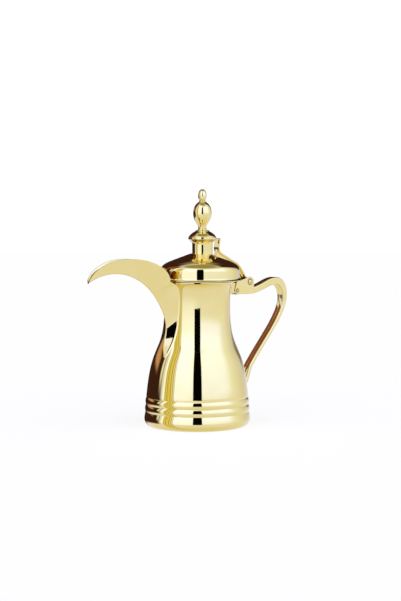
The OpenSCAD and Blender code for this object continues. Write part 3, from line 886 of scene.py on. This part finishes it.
def ramp(tree, value, low, high, to_low=0.0, to_high=1.0):
    """Smooth step of a value from low to high."""
    made = node(tree, "ShaderNodeMapRange", (value, low, high, to_low, to_high),
                interpolation_type="SMOOTHSTEP")
    return made.outputs[0]


def band(tree, value, low, high, soft, outside=False):
    """1 between low and high, falling to 0 over soft on both sides; or the reverse of that."""
    rise = ramp(tree, value, low - soft, low + soft)
    fall = ramp(tree, value, high - soft, high + soft, 1.0, 0.0)
    inside = calc(tree, "MULTIPLY", rise, fall)
    return calc(tree, "SUBTRACT", 1.0, inside) if outside else inside


def blend_color(tree, share, a, b):
    """Colour a with a share of colour b over it."""
    made = node(tree, "ShaderNodeMix", data_type="RGBA", blend_type="MIX")
    link_or_set(tree, made.inputs[0], share)
    link_or_set(tree, made.inputs[6], a)
    link_or_set(tree, made.inputs[7], b)
    return made.outputs[2]


def noise(tree, place, scale, detail=2.0, roughness=0.5, stretch=(1, 1, 1)):
    """Noise in object space; stretch above 1 packs it tighter along that axis."""
    moved = node(tree, "ShaderNodeMapping", {"Vector": place, "Scale": stretch}).outputs[0]
    made = node(tree, "ShaderNodeTexNoise",
                {"Vector": moved, "Scale": scale, "Detail": detail, "Roughness": roughness})
    return made.outputs["Fac"]


# ---- materials ----

# Painted shadow rings round the heads of the hinge pin and the bracket rivet, in millimetres, with the width of
# their soft edge.
PIN_SHADE_RADII = (2.6, 3.7)           # inner and outer radius of the painted shadow ring round the pin's head
RIVET_SHADE_RADII = (1.2, 2.4)
SHADE_RING_SOFT = 0.12


def painted_shade_ring(tree, place, at, inside, outside):
    """1 in a ring about an axis along Y through at, for a painted shadow round a rivet's head."""
    parts = node(tree, "ShaderNodeSeparateXYZ", (place,)).outputs
    dx = calc(tree, "SUBTRACT", parts[0], at[0] * MM)
    dz = calc(tree, "SUBTRACT", parts[2], at[1] * MM)
    square = calc(tree, "ADD", calc(tree, "MULTIPLY", dx, dx), calc(tree, "MULTIPLY", dz, dz))
    return band(tree, calc(tree, "SQRT", square), inside * MM, outside * MM, SHADE_RING_SOFT * MM)


def metal(name, color, dark, roughness, spread, wave, scratch, tarnish_and_shade):
    """A worn metal: drifting colour, uneven polish, hairline scratches, tarnish with painted shade in creases, and
    painted shadow rings round the pin's and rivet's heads.

    Spread is the share of dark in the colour, wave the height of the swell in metres and scratch
    what a hairline adds to the roughness.
    """
    material = bpy.data.materials.new(name)
    material.use_nodes = True
    tree = material.node_tree
    tree.nodes.clear()
    place = node(tree, "ShaderNodeTexCoord").outputs["Object"]
    drift = ramp(tree, noise(tree, place, 26, 3), 0.35, 0.65)
    haze = ramp(tree, noise(tree, place, 90, 5, 0.6), 0.42, 0.72)
    hair_a = noise(tree, place, 260, 2, 0.6, (1, 1, 14))
    hair_b = noise(tree, place, 260, 2, 0.6, (9, 9, 1))
    hairs = calc(tree, "MAXIMUM", ramp(tree, hair_a, 0.64, 0.74), ramp(tree, hair_b, 0.66, 0.76))
    point = node(tree, "ShaderNodeNewGeometry").outputs["Pointiness"]
    # concave creases take the tarnish colour: partly tarnish, partly painted shade in the hollows
    crease = ramp(tree, point, 0.40, 0.485, 1.0, 0.0)
    edge = ramp(tree, point, 0.52, 0.60)
    base = blend_color(tree, calc(tree, "MULTIPLY", drift, spread), color, dark)
    spots = calc(tree, "MULTIPLY", crease, ramp(tree, noise(tree, place, 420, 4), 0.3, 0.7, 0.35, 1.0))
    # a painted shadow ring round the hinge pin's head and the bracket rivet's head, in the tarnish colour
    head_shade = calc(tree, "MAXIMUM", painted_shade_ring(tree, place, (PIN_X, PIN_Z), *PIN_SHADE_RADII),
                painted_shade_ring(tree, place, RIVET_AT, *RIVET_SHADE_RADII))
    spots = calc(tree, "MAXIMUM", spots, head_shade)
    # creases and the rings round the heads blend towards the tarnish and painted shade colour
    base = blend_color(tree, calc(tree, "MULTIPLY", spots, 0.85), base, tarnish_and_shade)
    light = [min(1.0, c * 1.08) for c in color[:3]] + [1]
    base = blend_color(tree, calc(tree, "MULTIPLY", edge, 0.5), base, light)
    rough = calc(tree, "MULTIPLY_ADD", haze, roughness * 0.8, roughness)
    rough = calc(tree, "MULTIPLY_ADD", hairs, scratch, rough)
    rough = calc(tree, "MULTIPLY_ADD", spots, 0.22, rough)
    rough = calc(tree, "MULTIPLY_ADD", edge, 0.05, rough)
    swell = noise(tree, place, 34, 1.5)
    bump = node(tree, "ShaderNodeBump", {"Strength": 1.0, "Distance": wave, "Height": swell})
    fine = node(tree, "ShaderNodeBump", {"Strength": 0.25, "Distance": 0.0000012, "Height": hairs,
                                         "Normal": bump.outputs[0]})
    shader = node(tree, "ShaderNodeBsdfPrincipled",
                  {"Base Color": base, "Metallic": 1.0, "Roughness": rough, "Normal": fine.outputs[0]})
    node(tree, "ShaderNodeOutputMaterial", {"Surface": shader.outputs[0]})
    return material


# the last colour of each metal is its tarnish, which also serves as painted shade in creases and round rivet heads
gold = metal("polished_gold", (0.86, 0.7, 0.26, 1), (0.83, 0.66, 0.21, 1), 0.024, 0.8, 0.000008, 0.02,
             (0.33, 0.22, 0.07, 1))
satin = metal("plain_gold", (0.74, 0.56, 0.24, 1), (0.66, 0.47, 0.18, 1), 0.24, 1.0, 0.00002, 0.12,
              (0.25, 0.15, 0.05, 1))
rivet = metal("rivet_gold", (0.78, 0.6, 0.25, 1), (0.7, 0.5, 0.18, 1), 0.09, 1.0, 0.00003, 0.1,
              (0.2, 0.12, 0.04, 1))
steel = metal("plain_steel", (0.58, 0.57, 0.55, 1), (0.5, 0.49, 0.47, 1), 0.28, 1.0, 0.00002, 0.15,
              (0.2, 0.16, 0.12, 1))
by_slot = {"polished_gold": gold, "plain_gold": satin, "rivet_gold": rivet, "plain_steel": steel}
for piece in pieces:
    piece.data.materials.clear()
    piece.data.materials.append(by_slot[piece["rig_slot"]])
slots = {row["node"]: row["material_slot"] for row in frame["record"]["subparts"]}
for name, obj in frame["nodes"].items():
    obj.data.materials.clear()
    obj.data.materials.append(by_slot[slots[name]])


# ---- camera ----

CAMERA_AT = Vector((-1013.8, -1126.0, 229.0)) * MM
CAMERA_AIM = Vector((2.5, -2.25, 132.0)) * MM

camera_data = bpy.data.cameras.new("camera")
camera_data.lens = 86.44
camera_data.sensor_width = 36
camera = bpy.data.objects.new("camera", camera_data)
bpy.context.scene.collection.objects.link(camera)
camera.location = CAMERA_AT
camera.rotation_euler = (CAMERA_AIM - CAMERA_AT).to_track_quat("-Z", "Y").to_euler()
bpy.context.scene.camera = camera


# ---- studio: a light tent with a dark slit for the camera, open to a dark room behind ----

WALL_LEFT = (1.35, 1.62, 3.4, 1)
WALL_RIGHT = (0.98, 1.1, 1.62, 1)
WALL_LAMP = (1.24, 1.5, 3.3, 1)
WALL_FAR = (0.67, 0.69, 0.86, 1)
ROOF = (0.36, 0.33, 0.2, 1)
GROUND_NEAR = (0.92, 0.97, 1.35, 1)
GROUND_UNDER = (0.83, 0.83, 0.72, 1)
CURTAIN = (0.95, 0.95, 0.5, 1)
CURTAIN_SHADE = (0.55, 0.42, 0.06, 1)
POST = (0.16, 0.13, 0.04, 1)
GAP = (0.9, 0.95, 1.3, 1)
ROOM = (0.046, 0.018, 0.014, 1)
ROOM_HIGH = (0.42, 0.37, 0.3, 1)
ROOM_WOOD = (0.26, 0.09, 0.06, 1)
ROOM_STREAK = (0.62, 0.36, 0.27, 1)
SLIT_DARK = (0.002, 0.002, 0.002, 1)

# Where they are, in degrees: turn from the camera's side, positive to its right, and rise above
# the horizon.
LAMP_TURN = (4, 84)
LAMP_RISE = (2, 42)
CURTAIN_TURN = (-80, -57)
CURTAIN_TOP = (40, 62)
POST_TURN = (-56, -54)
ROOM_LEFT_TURN = (-97, -83)
ROOM_LEFT_RISE = (-17, 58)
ROOM_RIGHT_TURN = (140, 158)
ROOM_RIGHT_RISE = (0, 58)
STREAK_TURN = (-146, -116)
STREAK_RISE = (7, 17)
WOOD_TURN = (-128, -98)
WOOD_RISE = (24, 56)
GAP_TURN = (-100, -85)
GAP_RISE = (4, 30)
GAP_BAR_TURN = (-94, -91)
SLIT_TURN = (-9.6, 10.2)
SLIT_RISE = (-3.2, 42)
SLIT_SLANT = 0.016

STAGE_R = 6.0                    # metres
FLOOR_DROP = 0.0002              # metres


def make_world():
    """The surroundings that the metal mirrors, by angle from the camera's side and above the horizon."""
    world = bpy.data.worlds.new("tent")
    bpy.context.scene.world = world
    world.use_nodes = True
    tree = world.node_tree
    tree.nodes.clear()
    ray = node(tree, "ShaderNodeTexCoord").outputs["Generated"]
    front = Vector((CAMERA_AT.x, CAMERA_AT.y, 0)).normalized()
    side = Vector((-front.y, front.x, 0))
    ahead = node(tree, "ShaderNodeVectorMath", (ray, front), operation="DOT_PRODUCT").outputs["Value"]
    across = node(tree, "ShaderNodeVectorMath", (ray, side), operation="DOT_PRODUCT").outputs["Value"]
    up = node(tree, "ShaderNodeSeparateXYZ", (ray,)).outputs[2]
    turn = calc(tree, "DEGREES", calc(tree, "ARCTAN2", across, ahead))
    rise = calc(tree, "DEGREES", calc(tree, "ARCSINE", up))

    # cloth walls, bright on the left and by the lamp on the right, and a dimmer cloth roof
    walls = blend_color(tree, ramp(tree, turn, -20, 12), WALL_LEFT, WALL_RIGHT)
    lamp = calc(tree, "MULTIPLY", band(tree, turn, *LAMP_TURN, 14), band(tree, rise, *LAMP_RISE, 4))
    walls = blend_color(tree, lamp, walls, WALL_LAMP)
    walls = blend_color(tree, ramp(tree, turn, 92, 140), walls, WALL_FAR)
    walls = blend_color(tree, ramp(tree, rise, 2, 30), blend_color(tree, 0.35, walls, GROUND_NEAR), walls)
    lit = blend_color(tree, ramp(tree, rise, 44, 72), walls, ROOF)
    # table top
    ground = blend_color(tree, ramp(tree, rise, -70, -12), GROUND_UNDER, GROUND_NEAR)
    lit = blend_color(tree, ramp(tree, rise, -14, 4), ground, lit)

    # a folded curtain and a post at the tent's left side
    curtain = calc(tree, "MULTIPLY", band(tree, turn, *CURTAIN_TURN, 3),
                   ramp(tree, rise, *CURTAIN_TOP, 1.0, 0.0))
    folds = node(tree, "ShaderNodeTexNoise", {"W": calc(tree, "MULTIPLY", turn, 0.35), "Scale": 1.0,
                                              "Detail": 1.0}, noise_dimensions="1D").outputs["Fac"]
    cloth = blend_color(tree, ramp(tree, folds, 0.4, 0.62), CURTAIN_SHADE, CURTAIN)
    lit = blend_color(tree, curtain, lit, cloth)
    lit = blend_color(tree, calc(tree, "MULTIPLY", band(tree, turn, *POST_TURN, 1), 0.5), lit, POST)

    # the room behind the pot, with a streak of light, wood and a bright gap with a bar in it
    left = ramp(tree, turn, *ROOM_LEFT_TURN, 1.0, 0.0)
    left = calc(tree, "MULTIPLY", left, band(tree, rise, *ROOM_LEFT_RISE, 6))
    right = ramp(tree, calc(tree, "MULTIPLY_ADD", rise, 0.8, turn), *ROOM_RIGHT_TURN)
    right = calc(tree, "MULTIPLY", right, band(tree, rise, *ROOM_RIGHT_RISE, 5))
    behind = calc(tree, "MAXIMUM", left, right)
    streak = calc(tree, "MULTIPLY", band(tree, turn, *STREAK_TURN, 6),
                  band(tree, rise, *STREAK_RISE, 3))
    rear = ramp(tree, calc(tree, "ABSOLUTE", turn), 150, 176)
    room = blend_color(tree, calc(tree, "MULTIPLY", ramp(tree, rise, 38, 54), rear), ROOM, ROOM_HIGH)
    wood = calc(tree, "MULTIPLY", band(tree, turn, *WOOD_TURN, 8), band(tree, rise, *WOOD_RISE, 6))
    room = blend_color(tree, wood, room, ROOM_WOOD)
    room = blend_color(tree, streak, room, ROOM_STREAK)
    lit = blend_color(tree, behind, lit, room)
    gap = calc(tree, "MULTIPLY", band(tree, turn, *GAP_TURN, 1.5), band(tree, rise, *GAP_RISE, 5))
    gap = calc(tree, "MULTIPLY", gap, band(tree, turn, *GAP_BAR_TURN, 0.6, True))
    lit = blend_color(tree, gap, lit, GAP)

    # the camera's slit, its lower end a little aslant
    slant = calc(tree, "MULTIPLY_ADD", turn, SLIT_SLANT, rise)
    slit = calc(tree, "MULTIPLY", band(tree, turn, *SLIT_TURN, 0.4), band(tree, slant, *SLIT_RISE, 0.12))
    lit = blend_color(tree, slit, lit, SLIT_DARK)
    shade = node(tree, "ShaderNodeBackground", {"Color": lit, "Strength": 1.0})
    node(tree, "ShaderNodeOutputWorld", {"Surface": shade.outputs[0]})


def glow(name, color, strength, albedo=None):
    """An evenly lit surface, with a share of plain diffuse paint if albedo is given."""
    material = bpy.data.materials.new(name)
    material.use_nodes = True
    tree = material.node_tree
    tree.nodes.clear()
    shader = node(tree, "ShaderNodeEmission", {"Color": color, "Strength": strength}).outputs[0]
    if albedo:
        paint = node(tree, "ShaderNodeBsdfDiffuse", {"Color": albedo}).outputs[0]
        shader = node(tree, "ShaderNodeAddShader", (shader, paint)).outputs[0]
    node(tree, "ShaderNodeOutputMaterial", {"Surface": shader})
    return material


def stage_object(name, mesh, material):
    """Puts a mesh in the scene as part of the stage."""
    mesh.materials.append(material)
    obj = bpy.data.objects.new(name, mesh)
    bpy.context.scene.collection.objects.link(obj)
    return obj


def make_stage():
    """Floor that the metal doesn't mirror, and a backdrop that only the camera sees."""
    disc = bmesh.new()
    bmesh.ops.create_circle(disc, cap_ends=True, segments=96, radius=STAGE_R)
    mesh = bpy.data.meshes.new("floor")
    disc.to_mesh(mesh)
    disc.free()
    floor = stage_object("floor", mesh, glow("floor", (1, 1, 1, 1), 0.8, (0.33, 0.3, 0.22, 1)))
    floor.location.z = cad_low.z - FLOOR_DROP
    floor.visible_glossy = False
    dome = bmesh.new()
    bmesh.ops.create_uvsphere(dome, u_segments=48, v_segments=24, radius=STAGE_R)
    mesh = bpy.data.meshes.new("backdrop")
    dome.to_mesh(mesh)
    dome.free()
    backdrop = stage_object("backdrop", mesh, glow("backdrop", (1, 1, 1, 1), 1.02))
    for kind in ("diffuse", "glossy", "transmission", "volume_scatter", "shadow"):
        setattr(backdrop, "visible_" + kind, False)


make_world()
make_stage()
view = bpy.context.scene.view_settings
view.view_transform = "Standard"
